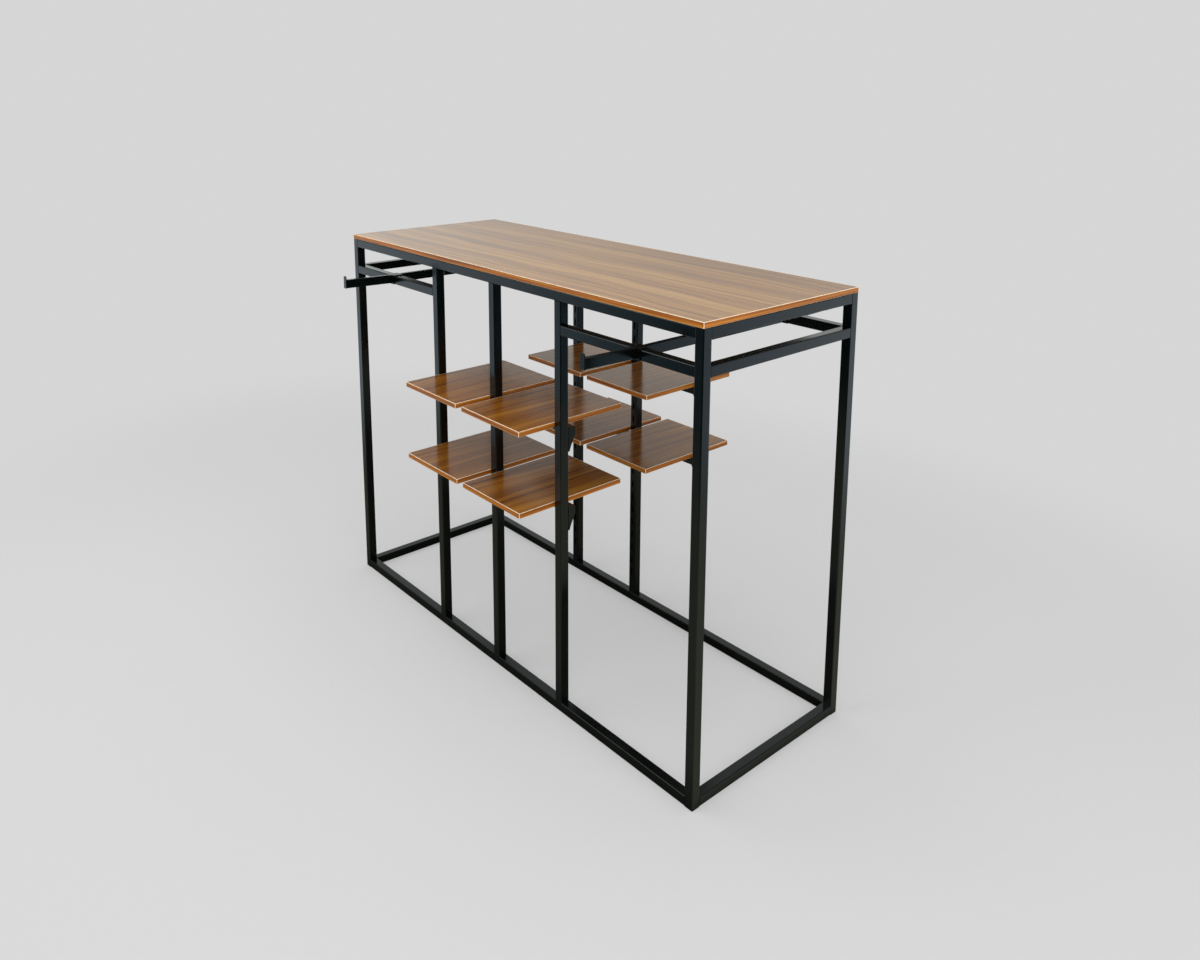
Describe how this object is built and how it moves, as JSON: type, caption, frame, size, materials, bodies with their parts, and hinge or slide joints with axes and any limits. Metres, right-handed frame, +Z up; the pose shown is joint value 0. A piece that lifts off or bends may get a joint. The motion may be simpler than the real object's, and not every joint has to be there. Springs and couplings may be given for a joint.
{
  "type": "clothing display stand",
  "caption": "Double-sided clothing display stand: square-tube frame, wood-look top, hooked shelf boards in the middle bays and hang rails with cross arms at both ends.",
  "frame": {"origin": "on the floor, under the middle of the stand", "axes": "+X along the stand's length to its right end, +Y from the front to the back, +Z up"},
  "size_m": [1.8, 1.016, 1.35],
  "materials": {
    "powder_coat": "semi-gloss black powder coat",
    "top_laminate": "satin laminate with a straight walnut-like grain along the stand",
    "shelf_laminate": "satin laminate with a straight walnut-like grain from front to back",
    "edge_band": "satin wood-look edge band",
    "zinc": "zinc-plated",
    "foot_plug": "matt black"
  },
  "bodies": {
    "frame": {"top_board": "top_laminate", "top_board_edging": "edge_band", "top_board_screws": "zinc", "post_front_left": "powder_coat", "post_front_right": "powder_coat", "post_back_left": "powder_coat", "post_back_right": "powder_coat", "post_plugs": "foot_plug", "column_front_left": "powder_coat", "column_front_mid": "powder_coat", "column_front_right": "powder_coat", "column_back_left": "powder_coat", "column_back_mid": "powder_coat", "column_back_right": "powder_coat", "top_rail_front": "powder_coat", "top_rail_back": "powder_coat", "top_rail_left": "powder_coat", "top_rail_right": "powder_coat", "base_rail_front": "powder_coat", "base_rail_back": "powder_coat", "base_rail_left": "powder_coat", "base_rail_right": "powder_coat", "hang_rail_front_left": "powder_coat", "hang_rail_front_right": "powder_coat", "hang_rail_back_left": "powder_coat", "hang_rail_back_right": "powder_coat", "hang_rail_left_end": "powder_coat", "hang_rail_right_end": "powder_coat"},
    "left_cross_unit": {"left_crossbar": "powder_coat", "left_saddles": "powder_coat", "left_arms": "powder_coat", "left_stop_plates": "powder_coat"},
    "right_cross_unit": {"right_crossbar": "powder_coat", "right_saddles": "powder_coat", "right_arms": "powder_coat", "right_stop_plates": "powder_coat"},
    "front_upper_shelves": {"front_upper_beam": "powder_coat", "front_upper_brackets": "powder_coat", "front_upper_board_left": "shelf_laminate", "front_upper_board_right": "shelf_laminate", "front_upper_edging": "edge_band", "front_upper_screws": "zinc"},
    "front_lower_shelves": {"front_lower_beam": "powder_coat", "front_lower_brackets": "powder_coat", "front_lower_board_left": "shelf_laminate", "front_lower_board_right": "shelf_laminate", "front_lower_edging": "edge_band", "front_lower_screws": "zinc"},
    "back_upper_shelves": {"back_upper_beam": "powder_coat", "back_upper_brackets": "powder_coat", "back_upper_board_left": "shelf_laminate", "back_upper_board_right": "shelf_laminate", "back_upper_edging": "edge_band", "back_upper_screws": "zinc"},
    "back_lower_shelves": {"back_lower_beam": "powder_coat", "back_lower_brackets": "powder_coat", "back_lower_board_left": "shelf_laminate", "back_lower_board_right": "shelf_laminate", "back_lower_edging": "edge_band", "back_lower_screws": "zinc"}
  },
  "joints": [
    {"name": "left_unit_slide", "type": "slide", "parent": "frame", "child": "left_cross_unit", "axis": [1, 0, 0], "range_m": [-0.229, 0.254]},
    {"name": "right_unit_slide", "type": "slide", "parent": "frame", "child": "right_cross_unit", "axis": [1, 0, 0], "range_m": [-0.292, 0.191]},
    {"name": "front_upper_lift", "type": "slide", "parent": "frame", "child": "front_upper_shelves", "axis": [0, 0, 1], "range_m": [0, 0.012]},
    {"name": "front_lower_lift", "type": "slide", "parent": "frame", "child": "front_lower_shelves", "axis": [0, 0, 1], "range_m": [0, 0.012]},
    {"name": "back_upper_lift", "type": "slide", "parent": "frame", "child": "back_upper_shelves", "axis": [0, 0, 1], "range_m": [0, 0.012]},
    {"name": "back_lower_lift", "type": "slide", "parent": "frame", "child": "back_lower_shelves", "axis": [0, 0, 1], "range_m": [0, 0.012]}
  ]
}
